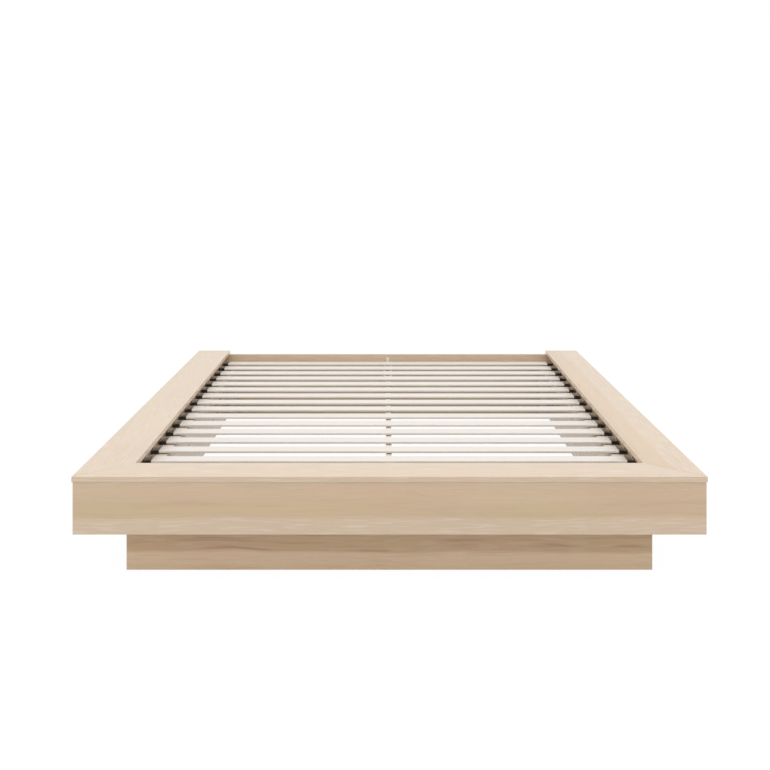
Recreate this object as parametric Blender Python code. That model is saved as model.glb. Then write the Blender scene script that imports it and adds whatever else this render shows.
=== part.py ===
"""Platform bed for a 150 by 200 cm mattress.

A flat oak surround lies on box beams round a recessed plinth. Inside it, sprung slats
are held in plastic holders and pass over a centre rail. The foot end points to -Y, the
head end to +Y, and the origin is on the floor in the middle of the bed's outline.
All sizes are in metres.
"""

import math

import bmesh
import bpy
from mathutils import Vector

# Surround and plinth
WELL_LENGTH = 2.024
WELL_WIDTH = 1.520
PANEL_WIDTH = 0.150
BOARD = 0.016
APRON_HEIGHT = 0.150
APRON_LIFT = 0.146
LIP = 0.0025
PLINTH_SETBACK = 0.128
EDGE_BREAK = 0.0005
SIDE_SPACER_COUNT = 2
FOOT_SPACER_COUNT = 2
CORNER_BLOCK = 0.040

# Slats, and the holders on their ends
SLAT_COUNT = 16
SLAT_WIDTH = 0.060
SLAT_THICKNESS = 0.008
SLAT_EDGE_RADIUS = 0.0025
SLAT_DEPTH = 0.0445
FOOT_SLAT_GAP = 0.067
HEAD_SLAT_GAP = 0.037
HOLDER_LENGTH = 0.030
HOLDER_WALL = 0.0025
HOLDER_WEB = 0.002
HOLDERS_IN_STRIP = 8

# Battens under the holders, and the centre rail with its legs and brackets
BATTEN_WIDTH = 0.039
BATTEN_HEIGHT = 0.030
RAIL_THICKNESS = 0.018
RAIL_HEIGHT = 0.080
LEG_COUNT = 2
LEG_WIDTH = 0.080
LEG_NOTCH = 0.010
SHEET = 0.002
SEAT_LENGTH = 0.020
CHEEK_HEIGHT = 0.040
PLATE_WING = 0.009
TAB_WIDTH = 0.014
TAB_HEADROOM = 0.016

# Bolts through the plinth's sides, and screws through the brackets' tabs
BOLTS_PER_SIDE = 2
BOLT_DIAMETER = 0.006
BOLT_LENGTH = 0.028
BOLT_HEAD_DIAMETER = 0.014
BOLT_HEAD_HEIGHT = 0.003
SCREW_DIAMETER = 0.0035
SCREW_LENGTH = 0.014
SCREW_HEAD_DIAMETER = 0.007
SCREW_HEAD_HEIGHT = 0.0022
SOCKET_SHARE = 0.5

# Gap kept between pieces that touch, and how finely curves are drawn
CLEARANCE = 0.0003
CORNER_STEPS = 3
ROUND_SIDES = 16
MOST_RADIUS_SHARE = 0.45
BREAK_FROM_DEGREES = 30
CREASE_FROM_DEGREES = 40

# Levels, from the floor up
APRON_TOP = APRON_LIFT + APRON_HEIGHT
PANEL_BOTTOM = APRON_TOP + CLEARANCE
PANEL_TOP = PANEL_BOTTOM + BOARD
SLAT_TOP = PANEL_TOP - SLAT_DEPTH
SLAT_MIDDLE = SLAT_TOP - SLAT_THICKNESS / 2
HOLDER_BOTTOM = SLAT_TOP - SLAT_THICKNESS - CLEARANCE - HOLDER_WALL
LEDGE_TOP = HOLDER_BOTTOM - CLEARANCE
BATTEN_BOTTOM = LEDGE_TOP - BATTEN_HEIGHT
RAIL_BOTTOM = LEDGE_TOP - RAIL_HEIGHT

# Distances from the middle plane, outwards
PANEL_IN = WELL_WIDTH / 2
PANEL_OUT = PANEL_IN + PANEL_WIDTH
APRON_OUT = PANEL_OUT - LIP
APRON_IN = APRON_OUT - BOARD
PLINTH_OUT = PANEL_OUT - PLINTH_SETBACK
PLINTH_IN = PLINTH_OUT - BOARD
INNER_RAIL_IN = PLINTH_OUT + CLEARANCE
INNER_RAIL_OUT = INNER_RAIL_IN + BOARD
HOLDER_OUT = INNER_RAIL_IN - CLEARANCE
HOLDER_IN = HOLDER_OUT - HOLDER_LENGTH
SLAT_END = HOLDER_OUT - HOLDER_WALL - CLEARANCE

# Places along the bed, from the foot end to the head end
HEAD_EDGE = (PANEL_WIDTH + WELL_LENGTH + BOARD) / 2
FOOT_EDGE = -HEAD_EDGE
WELL_FOOT = FOOT_EDGE + PANEL_WIDTH
FOOT_APRON_OUT = FOOT_EDGE + LIP
FOOT_APRON_IN = FOOT_APRON_OUT + BOARD
FOOT_PLINTH_OUT = FOOT_EDGE + PLINTH_SETBACK
FOOT_PLINTH_IN = FOOT_PLINTH_OUT + BOARD
FOOT_INNER_RAIL_IN = FOOT_PLINTH_OUT - CLEARANCE
FOOT_INNER_RAIL_OUT = FOOT_INNER_RAIL_IN - BOARD
HEAD_RAIL_IN = HEAD_EDGE - BOARD
HEAD_PLINTH_OUT = HEAD_RAIL_IN - CLEARANCE
HEAD_PLINTH_IN = HEAD_PLINTH_OUT - BOARD
FIRST_SLAT = WELL_FOOT + FOOT_SLAT_GAP + SLAT_WIDTH / 2
LAST_SLAT = HEAD_RAIL_IN - HEAD_SLAT_GAP - SLAT_WIDTH / 2
SLAT_PITCH = (LAST_SLAT - FIRST_SLAT) / (SLAT_COUNT - 1)

SIDES = {"left": -1, "right": 1}


def linear(channel):
    """One sRGB channel, from 0 to 1, as linear light."""
    if channel <= 0.04045:
        return channel / 12.92
    return ((channel + 0.055) / 1.055) ** 2.4


def make_finish(name, colour, roughness, metallic=0.0):
    """A material of one colour, given as an sRGB hex value."""
    finish = bpy.data.materials.new(name)
    finish.use_nodes = True
    shader = finish.node_tree.nodes["Principled BSDF"]
    channels = [linear(((colour >> shift) & 255) / 255) for shift in (16, 8, 0)]
    shader.inputs["Base Color"].default_value = (*channels, 1.0)
    shader.inputs["Roughness"].default_value = roughness
    shader.inputs["Metallic"].default_value = metallic
    finish.diffuse_color = (*channels, 1.0)
    return finish


def make_group(name):
    """An empty that the pieces of one assembly are parented to."""
    group = bpy.data.objects.new(name, None)
    bpy.context.scene.collection.objects.link(group)
    return group


def place(name, mesh, location, finish, group, turn=0.0):
    """Puts a mesh in the scene as a piece, turned about the upright axis."""
    piece = bpy.data.objects.new(name, mesh)
    piece.location = location
    piece.rotation_euler.z = turn
    piece.parent = group
    if not mesh.materials:
        mesh.materials.append(finish)
    bpy.context.scene.collection.objects.link(piece)
    return piece


def place_helper(name, mesh, location, group, turn=0.0):
    """Puts a mesh in the scene that only cuts or joins other pieces."""
    helper = bpy.data.objects.new(name, mesh)
    helper.location = location
    helper.rotation_euler.z = turn
    helper.parent = group
    helper.hide_render = True
    helper.display_type = "WIRE"
    bpy.context.scene.collection.objects.link(helper)
    return helper


def combine(piece, helper, operation):
    """Cuts the helper's shape from the piece, or joins the two."""
    change = piece.modifiers.new(helper.name, "BOOLEAN")
    change.operation = operation
    change.solver = "EXACT"
    change.object = helper


def break_edges(piece):
    """Takes the sharpness off every edge of a board, as the edge trimmer does."""
    bevel = piece.modifiers.new("broken_edges", "BEVEL")
    bevel.width = EDGE_BREAK
    bevel.segments = 1
    bevel.limit_method = "ANGLE"
    bevel.angle_limit = math.radians(BREAK_FROM_DEGREES)


def smooth_curves(mesh):
    """Shades a mesh smooth, apart from its real edges."""
    mesh.shade_smooth()
    mesh.set_sharp_from_angle(angle=math.radians(CREASE_FROM_DEGREES))


def skin_mesh(name, bodies):
    """Closed bodies in one mesh. Each is a list of rings of points, skinned in order
    and closed at its first and last ring."""
    shape = bmesh.new()
    for rings in bodies:
        loops = [[shape.verts.new(point) for point in ring] for ring in rings]
        shape.faces.new(loops[0])
        shape.faces.new(loops[-1])
        for low, high in zip(loops, loops[1:]):
            for index in range(len(low)):
                after = (index + 1) % len(low)
                shape.faces.new((low[index], low[after], high[after], high[index]))
    bmesh.ops.recalc_face_normals(shape, faces=shape.faces)
    mesh = bpy.data.meshes.new(name)
    shape.to_mesh(mesh)
    shape.free()
    return mesh


def prism(outline, push):
    """The two rings of a flat outline and of its copy moved by the vector push."""
    return [outline, [Vector(point) + Vector(push) for point in outline]]


def cuboid(x, y, z):
    """The rings of a block that fills the ranges x, y and z."""
    outline = [(x[0], y[0], z[0]), (x[1], y[0], z[0]), (x[1], y[1], z[0]), (x[0], y[1], z[0])]
    return prism(outline, (0, 0, z[1] - z[0]))


def outward(side, near, far):
    """The range from near to far on the left or right, lowest value first."""
    return tuple(sorted((side * near, side * far)))


def place_block(name, x, y, z, finish, group):
    """A block that fills the ranges x, y and z, with its origin in its middle."""
    middle = Vector([(low + high) / 2 for low, high in (x, y, z)])
    ranges = [(low - centre, high - centre) for (low, high), centre in zip((x, y, z), middle)]
    piece = place(name, skin_mesh(name, [cuboid(*ranges)]), middle, finish, group)
    break_edges(piece)
    return piece


def spread(low, high, count):
    """Places that part the range from low to high into count + 1 equal bays."""
    return [low + (high - low) * number / (count + 1) for number in range(1, count + 1)]


def place_top_panel(name, outline, finish, group):
    """One board of the surround, from its outline seen from above."""
    mesh = skin_mesh(name, [prism([(x, y, 0) for x, y in outline], (0, 0, BOARD))])
    break_edges(place(name, mesh, (0, 0, PANEL_BOTTOM), finish, group))


def build_top(oak, group):
    """The surround's three boards, mitred at the foot corners."""
    mitre = CLEARANCE / math.sqrt(2)
    place_top_panel(
        "top_panel_foot",
        [
            (mitre - PANEL_OUT, FOOT_EDGE),
            (PANEL_OUT - mitre, FOOT_EDGE),
            (PANEL_IN - mitre, WELL_FOOT),
            (mitre - PANEL_IN, WELL_FOOT),
        ],
        oak,
        group,
    )
    for word, side in SIDES.items():
        outline = [
            (side * PANEL_OUT, FOOT_EDGE + mitre),
            (side * PANEL_OUT, HEAD_EDGE),
            (side * PANEL_IN, HEAD_EDGE),
            (side * PANEL_IN, WELL_FOOT + mitre),
        ]
        place_top_panel(f"top_panel_{word}", outline, oak, group)


def build_beams(oak, group):
    """Aprons, inner rails and spacers, which carry the surround, and the head rail."""
    upright = (APRON_LIFT, APRON_TOP)
    across = (-APRON_OUT, APRON_OUT)
    foot_y = (FOOT_APRON_OUT, FOOT_APRON_IN)
    place_block("apron_foot", across, foot_y, upright, oak, group)
    rails = {}
    rails["head"] = place_block("head_rail", across, (HEAD_RAIL_IN, HEAD_EDGE), upright, oak, group)
    foot_y = (FOOT_INNER_RAIL_OUT, FOOT_INNER_RAIL_IN)
    foot_x = (-INNER_RAIL_OUT, INNER_RAIL_OUT)
    rails["foot"] = place_block("inner_rail_foot", foot_x, foot_y, upright, oak, group)
    apron_y = (FOOT_APRON_IN + CLEARANCE, HEAD_RAIL_IN - CLEARANCE)
    rail_y = (FOOT_INNER_RAIL_IN + CLEARANCE, HEAD_RAIL_IN - CLEARANCE)
    spacer_span = (INNER_RAIL_OUT + CLEARANCE, APRON_IN - CLEARANCE)
    for word, side in SIDES.items():
        apron_x = outward(side, APRON_IN, APRON_OUT)
        place_block(f"apron_{word}", apron_x, apron_y, upright, oak, group)
        rail_x = outward(side, INNER_RAIL_IN, INNER_RAIL_OUT)
        rails[word] = place_block(f"inner_rail_{word}", rail_x, rail_y, upright, oak, group)
        spacer_x = outward(side, *spacer_span)
        for number, middle in enumerate(spread(*rail_y, SIDE_SPACER_COUNT), 1):
            spacer_y = (middle - BOARD / 2, middle + BOARD / 2)
            name = f"beam_spacer_{word}_{number}"
            place_block(name, spacer_x, spacer_y, upright, oak, group)
    spacer_y = (FOOT_APRON_IN + CLEARANCE, FOOT_INNER_RAIL_OUT - CLEARANCE)
    for number, middle in enumerate(spread(*foot_x, FOOT_SPACER_COUNT), 1):
        spacer_x = (middle - BOARD / 2, middle + BOARD / 2)
        place_block(f"beam_spacer_foot_{number}", spacer_x, spacer_y, upright, oak, group)
    return rails


def build_plinth(oak, group):
    """The plinth's four boards. They rise behind the aprons up to the holders' ledge."""
    upright = (0, LEDGE_TOP)
    across = (-PLINTH_OUT, PLINTH_OUT)
    place_block("plinth_foot", across, (FOOT_PLINTH_OUT, FOOT_PLINTH_IN), upright, oak, group)
    place_block("plinth_head", across, (HEAD_PLINTH_IN, HEAD_PLINTH_OUT), upright, oak, group)
    side_y = (FOOT_PLINTH_IN + CLEARANCE, HEAD_PLINTH_IN - CLEARANCE)
    boards = {}
    for word, side in SIDES.items():
        side_x = outward(side, PLINTH_IN, PLINTH_OUT)
        boards[word] = place_block(f"plinth_{word}", side_x, side_y, upright, oak, group)
    return boards


def build_ledges(pine, group):
    """Battens along the plinth's sides, and the corner blocks that they end on."""
    batten_y = (FOOT_PLINTH_IN + CLEARANCE, HEAD_PLINTH_IN - CLEARANCE)
    batten_z = (BATTEN_BOTTOM, LEDGE_TOP)
    block_z = (0, BATTEN_BOTTOM - CLEARANCE)
    blocks_y = {
        "foot": (batten_y[0], batten_y[0] + CORNER_BLOCK),
        "head": (batten_y[1] - CORNER_BLOCK, batten_y[1]),
    }
    against = PLINTH_IN - CLEARANCE
    for word, side in SIDES.items():
        batten_x = outward(side, against - BATTEN_WIDTH, against)
        place_block(f"slat_batten_{word}", batten_x, batten_y, batten_z, pine, group)
        block_x = outward(side, against - CORNER_BLOCK, against)
        for end, block_y in blocks_y.items():
            place_block(f"plinth_block_{end}_{word}", block_x, block_y, block_z, pine, group)


def ring(radius, height):
    """Points of a round section at a height along its axis."""
    turns = [math.tau * number / ROUND_SIDES for number in range(ROUND_SIDES)]
    return [Vector((radius * math.cos(turn), radius * math.sin(turn), height)) for turn in turns]


def turned(steps):
    """The rings of a turned body that lies along X, from (radius, place) steps."""
    return [[Vector((point.z, point.x, point.y)) for point in ring(*step)] for step in steps]


def fastener_mesh(name, diameter, length, head_diameter, head_height):
    """A fastener along +X. Its head seats at the origin, with a round socket for the key."""
    socket = SOCKET_SHARE * diameter
    steps = [
        (socket, -head_height / 2),
        (socket, -head_height),
        (head_diameter / 2, -head_height),
        (head_diameter / 2, 0),
        (diameter / 2, 0),
        (diameter / 2, length - diameter / 2),
        (socket / 2, length),
    ]
    mesh = skin_mesh(name, [turned(steps)])
    smooth_curves(mesh)
    return mesh


def drill_mesh(name, diameter, length):
    """A round cutter along +X, from just before the origin, a clearance larger than its fastener."""
    radius = diameter / 2 + CLEARANCE
    return skin_mesh(name, [turned([(radius, -CLEARANCE), (radius, length)])])


def build_bolts(steel, group, boards, rails):
    """Bolts that draw each side beam against the plinth, with the holes for them."""
    bolt = fastener_mesh(
        "beam_bolt", BOLT_DIAMETER, BOLT_LENGTH, BOLT_HEAD_DIAMETER, BOLT_HEAD_HEIGHT
    )
    drill = drill_mesh("beam_bolt_hole", BOLT_DIAMETER, BOLT_LENGTH + CLEARANCE)
    height = (APRON_LIFT + BATTEN_BOTTOM) / 2
    middles = spread(FOOT_PLINTH_IN, HEAD_PLINTH_IN, 2 * BOLTS_PER_SIDE - 1)[::2]
    for word, side in SIDES.items():
        turn = 0 if side > 0 else math.pi
        for number, middle in enumerate(middles, 1):
            seat = (side * (PLINTH_IN - CLEARANCE), middle, height)
            name = f"beam_bolt_{word}_{number}"
            place(name, bolt, seat, steel, group, turn)
            cutter = place_helper(f"{name}_hole", drill, seat, group, turn)
            combine(boards[word], cutter, "DIFFERENCE")
            combine(rails[word], cutter, "DIFFERENCE")


def build_centre_rail(pine, group):
    """The rail on edge under the slats' middles, and the legs that stand in its notches."""
    reach = SHEET + 2 * CLEARANCE
    low, high = FOOT_PLINTH_IN + reach, HEAD_PLINTH_IN - reach
    notch_top = RAIL_BOTTOM + LEG_NOTCH
    middles = spread(low, high, LEG_COUNT)
    outline = [(high, LEDGE_TOP), (low, LEDGE_TOP), (low, RAIL_BOTTOM)]
    notch_half = LEG_WIDTH / 2 + CLEARANCE
    for middle in middles:
        start, end = middle - notch_half, middle + notch_half
        outline += [(start, RAIL_BOTTOM), (start, notch_top), (end, notch_top), (end, RAIL_BOTTOM)]
    outline.append((high, RAIL_BOTTOM))
    face = [(-RAIL_THICKNESS / 2, y, z - LEDGE_TOP) for y, z in outline]
    mesh = skin_mesh("centre_rail", [prism(face, (RAIL_THICKNESS, 0, 0))])
    break_edges(place("centre_rail", mesh, (0, 0, LEDGE_TOP), pine, group))
    leg_x = (-RAIL_THICKNESS / 2, RAIL_THICKNESS / 2)
    leg_z = (0, notch_top - CLEARANCE)
    for number, middle in enumerate(middles, 1):
        leg_y = (middle - LEG_WIDTH / 2, middle + LEG_WIDTH / 2)
        place_block(f"centre_leg_{number}", leg_x, leg_y, leg_z, pine, group)


def bracket_bodies():
    """The folded bracket as bodies that overlap by half its sheet. The plinth board is on
    its +Y side, and its origin is on that board's inner top edge."""
    half = SHEET / 2
    back = -CLEARANCE
    front = back - SHEET
    hook_low = CLEARANCE
    hook_high = hook_low + SHEET
    tab_back = BOARD
    tab_front = tab_back - SHEET
    tab_top = PANEL_BOTTOM - TAB_HEADROOM - LEDGE_TOP
    seat_high = RAIL_BOTTOM - CLEARANCE - LEDGE_TOP
    seat_low = seat_high - SHEET
    inside = RAIL_THICKNESS / 2 + CLEARANCE
    outside = inside + SHEET
    wing = outside + PLATE_WING
    plate = cuboid((-wing, wing), (front, back), (seat_low - half, hook_low + half))
    shoe_outline = [
        (-outside, seat_low),
        (outside, seat_low),
        (outside, seat_high + CHEEK_HEIGHT),
        (inside, seat_high + CHEEK_HEIGHT),
        (inside, seat_high),
        (-inside, seat_high),
        (-inside, seat_high + CHEEK_HEIGHT),
        (-outside, seat_high + CHEEK_HEIGHT),
    ]
    shoe_front = front - SEAT_LENGTH
    shoe = prism([(x, shoe_front, z) for x, z in shoe_outline], (0, SEAT_LENGTH + half, 0))
    hook_outline = [
        (front + half, hook_low),
        (tab_back, hook_low),
        (tab_back, tab_top),
        (tab_front, tab_top),
        (tab_front, hook_high),
        (front + half, hook_high),
    ]
    hook = prism([(-TAB_WIDTH / 2, y, z) for y, z in hook_outline], (TAB_WIDTH, 0, 0))
    screw_height = (hook_high + tab_top) / 2
    return plate, shoe, hook, Vector((0, tab_front, screw_height))


def build_brackets(steel, group, rails):
    """The brackets at the centre rail's ends. Each hooks over a plinth board, and a screw
    holds its tab to the rail behind."""
    plate, shoe, hook, screw_seat = bracket_bodies()
    plate_mesh = skin_mesh("centre_bracket", [plate])
    parts = {"shoe": skin_mesh("bracket_shoe", [shoe]), "hook": skin_mesh("bracket_hook", [hook])}
    screw = fastener_mesh(
        "bracket_screw", SCREW_DIAMETER, SCREW_LENGTH, SCREW_HEAD_DIAMETER, SCREW_HEAD_HEIGHT
    )
    drill = drill_mesh("bracket_screw_hole", SCREW_DIAMETER, SCREW_LENGTH + CLEARANCE)
    ends = {"foot": (FOOT_PLINTH_IN, -1), "head": (HEAD_PLINTH_IN, 1)}
    for end, (inner_face, way) in ends.items():
        corner = Vector((0, inner_face, LEDGE_TOP))
        turn = 0 if way > 0 else math.pi
        bracket = place(f"centre_bracket_{end}", plate_mesh, corner, steel, group, turn)
        for part, mesh in parts.items():
            helper = place_helper(f"bracket_{part}_{end}", mesh, corner, group, turn)
            combine(bracket, helper, "UNION")
        seat = corner + Vector((0, way * (screw_seat.y - CLEARANCE), screw_seat.z))
        facing = way * math.pi / 2
        place(f"bracket_screw_{end}", screw, seat, steel, group, facing)
        cutter = place_helper(f"bracket_screw_{end}_hole", drill, seat, group, facing)
        combine(bracket, cutter, "DIFFERENCE")
        combine(rails[end], cutter, "DIFFERENCE")


def slat_edge_radius():
    """The radius of a slat's long edges, which its thickness limits."""
    return min(SLAT_EDGE_RADIUS, MOST_RADIUS_SHARE * SLAT_THICKNESS)


def rounded_section(width, height, top_radius, bottom_radius):
    """A section's outline round the origin, as (y, z) points, with rounded corners."""
    corners = [
        (1, -1, bottom_radius, -90),
        (1, 1, top_radius, 0),
        (-1, 1, top_radius, 90),
        (-1, -1, bottom_radius, 180),
    ]
    points = []
    for side, end, radius, start in corners:
        centre_y = side * (width / 2 - radius)
        centre_z = end * (height / 2 - radius)
        steps = CORNER_STEPS if radius else 0
        for step in range(steps + 1):
            turn = math.radians(start + 90 * step / max(steps, 1))
            points.append((centre_y + radius * math.cos(turn), centre_z + radius * math.sin(turn)))
    return points


def slat_places():
    """The middle of each slat along the bed, from the foot end."""
    return [FIRST_SLAT + SLAT_PITCH * number for number in range(SLAT_COUNT)]


def build_slats(ply, group):
    """The slats, all of one shape."""
    radius = slat_edge_radius()
    section = rounded_section(SLAT_WIDTH, SLAT_THICKNESS, radius, radius)
    rings = prism([(-SLAT_END, y, z) for y, z in section], (2 * SLAT_END, 0, 0))
    mesh = skin_mesh("slat", [rings])
    smooth_curves(mesh)
    for number, middle in enumerate(slat_places(), 1):
        place(f"slat_{number:02d}", mesh, (0, middle, SLAT_MIDDLE), ply, group)


def holder_rings(side, offset):
    """One holder: its closed outer end, its body, its mouth and the pocket for the slat."""
    pocket_radius = slat_edge_radius() + CLEARANCE
    pocket_width = SLAT_WIDTH + 2 * CLEARANCE
    pocket_height = SLAT_THICKNESS + 2 * CLEARANCE
    pocket = rounded_section(pocket_width, pocket_height, pocket_radius, 0)
    body = rounded_section(
        pocket_width + 2 * HOLDER_WALL,
        pocket_height + 2 * HOLDER_WALL,
        pocket_radius + HOLDER_WALL,
        0,
    )
    steps = [(HOLDER_OUT, body), (HOLDER_IN, body), (HOLDER_IN, pocket), (SLAT_END + CLEARANCE, pocket)]
    return [[(side * x, offset + y, z) for y, z in outline] for x, outline in steps]


def build_holders(plastic, group):
    """Holders for the slat ends. A thin web at the outer end joins a strip of them."""
    places = slat_places()
    half_width = SLAT_WIDTH / 2 + CLEARANCE + HOLDER_WALL
    web_low = HOLDER_BOTTOM + CLEARANCE - SLAT_MIDDLE
    for word, side in SIDES.items():
        web_x = outward(side, SLAT_END + 2 * CLEARANCE, HOLDER_OUT - CLEARANCE)
        for start in range(0, SLAT_COUNT, HOLDERS_IN_STRIP):
            strip = places[start : start + HOLDERS_IN_STRIP]
            middle = (strip[0] + strip[-1]) / 2
            web_half = strip[-1] - middle + half_width - CLEARANCE
            web = cuboid(web_x, (-web_half, web_half), (web_low, web_low + HOLDER_WEB))
            name = f"slat_holders_{word}_{start // HOLDERS_IN_STRIP + 1}"
            centre = (0, middle, SLAT_MIDDLE)
            piece = place(name, skin_mesh(name, [web]), centre, plastic, group)
            bodies = [holder_rings(side, place_y - middle) for place_y in strip]
            cups = place_helper(f"{name}_cups", skin_mesh(f"{name}_cups", bodies), centre, group)
            combine(piece, cups, "UNION")


def main():
    for item in list(bpy.data.objects):
        bpy.data.objects.remove(item, do_unlink=True)
    oak = make_finish("light_oak_board", 0xC8B39B, 0.45)
    pine = make_finish("planed_pine", 0xD2C6B5, 0.6)
    ply = make_finish("birch_slat", 0xD8D0C8, 0.4)
    plastic = make_finish("black_plastic", 0x1E1C1B, 0.4)
    steel = make_finish("zinc_plated_steel", 0xDAD4CA, 0.35, 1.0)
    surround = make_group("surround")
    plinth = make_group("plinth")
    slat_base = make_group("slat_base")
    build_top(oak, surround)
    rails = build_beams(oak, surround)
    boards = build_plinth(oak, plinth)
    build_ledges(pine, plinth)
    build_bolts(steel, plinth, boards, rails)
    build_centre_rail(pine, slat_base)
    build_brackets(steel, slat_base, rails)
    build_slats(ply, slat_base)
    build_holders(plastic, slat_base)


main()
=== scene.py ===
"""Dresses the platform bed: boards with a light oak print, birch slats in black holders,
pine supports and zinc-plated fittings, on a white studio floor. Sizes are in metres."""

import math

import bmesh
import bpy
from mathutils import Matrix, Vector


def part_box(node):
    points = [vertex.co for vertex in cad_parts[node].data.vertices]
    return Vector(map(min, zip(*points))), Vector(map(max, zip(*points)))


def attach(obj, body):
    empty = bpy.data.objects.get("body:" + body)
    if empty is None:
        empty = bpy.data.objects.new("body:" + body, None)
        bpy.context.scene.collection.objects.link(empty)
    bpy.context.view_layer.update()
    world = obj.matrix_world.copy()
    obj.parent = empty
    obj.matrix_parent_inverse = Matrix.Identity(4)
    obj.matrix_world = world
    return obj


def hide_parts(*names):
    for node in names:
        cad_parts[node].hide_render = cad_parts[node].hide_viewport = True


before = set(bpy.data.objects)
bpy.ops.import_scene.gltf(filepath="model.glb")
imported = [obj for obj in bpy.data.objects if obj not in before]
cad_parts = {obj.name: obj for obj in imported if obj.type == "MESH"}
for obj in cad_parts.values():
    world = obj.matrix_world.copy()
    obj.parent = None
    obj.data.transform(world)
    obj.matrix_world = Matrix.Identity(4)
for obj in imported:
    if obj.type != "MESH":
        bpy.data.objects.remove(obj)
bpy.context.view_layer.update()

bl_info = {
    "name": "Platform Bed",
    "version": (1, 0, 0),
    "blender": (4, 5, 0),
    "location": "3D View > Sidebar > Platform Bed",
    "description": "Dresses a platform bed with its boards, slats, holders and fittings",
    "category": "Add Mesh",
}

BODY = "root"
GRAIN_MAP = "grain"
X_AXIS, Y_AXIS, Z_AXIS = 0, 1, 2
MILLIMETRES = 1000
SIDES = {"left": -1, "right": 1}


def nodes_named(start):
    """The names of the nodes that start so, in order."""
    return sorted(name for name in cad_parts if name.startswith(start))


SLAT = "slat_"
SLAT_NAMES = [name for name in nodes_named(SLAT) if name.removeprefix(SLAT).isdigit()]
HOLDERS_IN_STRIP = 8


def linear(colour):
    """A colour given as an sRGB hex value, as linear red, green and blue."""
    channels = [(colour >> shift & 255) / 255 for shift in (16, 8, 0)]
    return [c / 12.92 if c <= 0.04045 else ((c + 0.055) / 1.055) ** 2.4 for c in channels]


def number(name, description, default, **limits):
    """A number that a user may change."""
    return bpy.props.FloatProperty(name=name, description=description, default=default, **limits)


def length(name, description, default):
    """A length that a user may change."""
    return number(name, description, default, min=0, unit="LENGTH", precision=4)


def share(name, description, default):
    """A share from nothing to all that a user may change."""
    return number(name, description, default, min=0, max=1, subtype="FACTOR")


def tint(name, description, default):
    """A colour that a user may change, with its default as an sRGB hex value."""
    limits = {"default": linear(default), "size": 3, "min": 0, "max": 1, "subtype": "COLOR"}
    return bpy.props.FloatVectorProperty(name=name, description=description, **limits)


class BoardSettings(bpy.types.PropertyGroup):
    """Sizes and colours of the oak-faced boards."""

    arris: length("Edge rounding", "Radius of a banded board's edges", 0.0008)
    top_arris: length("Top edge rounding", "Radius of the surround's edges", 0.0008)
    saw_arris: length("Sawn edge rounding", "Radius of an unbanded board's edges", 0.0002)
    light: tint("Light zone", "Oak print in its light zone", 0xC9B39A)
    middle: tint("Middle zone", "Oak print between its light and dark zones", 0xC6AC8F)
    dark: tint("Dark zone", "Oak print in its dark zone", 0xC3AA8A)
    # The warm and deep zones are partly the print's own tones and partly painted light and shade:
    # warm is painted lighter for the light low on the front plinth, and deep is painted darker
    # for the shade high on it, under the apron's overhang
    warm: tint("Warm zone", "Oak print in its warm zone, low on the plinth", 0xE2C5A3)
    deep: tint("Deep zone", "Oak print in its deepest zone, high on the plinth", 0xCBAA84)
    lens: tint("Lenses", "Dark lens-shaped marks in the print", 0xA8825E)
    fleck: tint("Flecks", "Pale flecks in the print", 0xE6D9C8)
    core: tint("Core", "Wood chips at a sawn edge", 0xB08F66)
    gloss: share("Roughness", "Roughness of the pressed surface", 0.28)


class PineSettings(bpy.types.PropertyGroup):
    """Sizes and colours of the battens, blocks, centre rail and legs."""

    early: tint("Early wood", "Pale wood between the rings", 0xD8CDC2)
    late: tint("Late wood", "Darker wood of each ring", 0xBBA78E)
    ring: length("Ring spacing", "Distance from one growth ring to the next", 0.0032)
    arris: length("Edge rounding", "Radius of the planed edges", 0.0012)


class SlatSettings(bpy.types.PropertyGroup):
    """Sizes and colours of the sprung slats."""

    edge: length("Edge rounding", "Radius of a slat's long edges", 0.0025)
    veneer: length("Veneer", "Thickness of one layer of birch", 0.0016)
    face: tint("Face", "Sanded birch on the top", 0xD8D0C8)
    # The edges' birch is painted paler than the face, as painted light that reaches them from
    # below
    side: tint("Edge", "Shaped birch layers along the edges", 0xE6E0D8)
    glue: tint("Glue line", "Line between two layers, seen at the edges", 0xC4B29A)


class HolderSettings(bpy.types.PropertyGroup):
    """Sizes and colour of the slat holders."""

    span: length("Length", "Length of a holder from its mouth to its closed end", 0.0265)
    wall: length("End wall", "Thickness of the closed end behind the slat", 0.0070)
    collar: length("Collar", "Depth of the collar round the mouth", 0.0035)
    step: length("Collar step", "How far the collar stands out from the body", 0.0005)
    crown: length("Crown", "Rise of the top's middle above its sides", 0.0016)
    corner: length("Corner", "Radius of the top's corners", 0.0040)
    end: length("End rounding", "Radius of the closed end's edges", 0.0085)
    sheen: share("Sheen", "How much the moulded skin pales when seen from low down", 0.55)
    plastic: tint("Plastic", "Moulded black plastic", 0x1C1A19)


class FittingSettings(bpy.types.PropertyGroup):
    """Sizes and colour of the brackets, screws and bolts."""

    recess: length("Recess depth", "Depth of the key's recess in a head", 0.0014)
    arris: length("Edge rounding", "Radius of the brackets' pressed edges", 0.0003)
    zinc: tint("Zinc", "Zinc plating", 0xF0E8DC)


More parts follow.
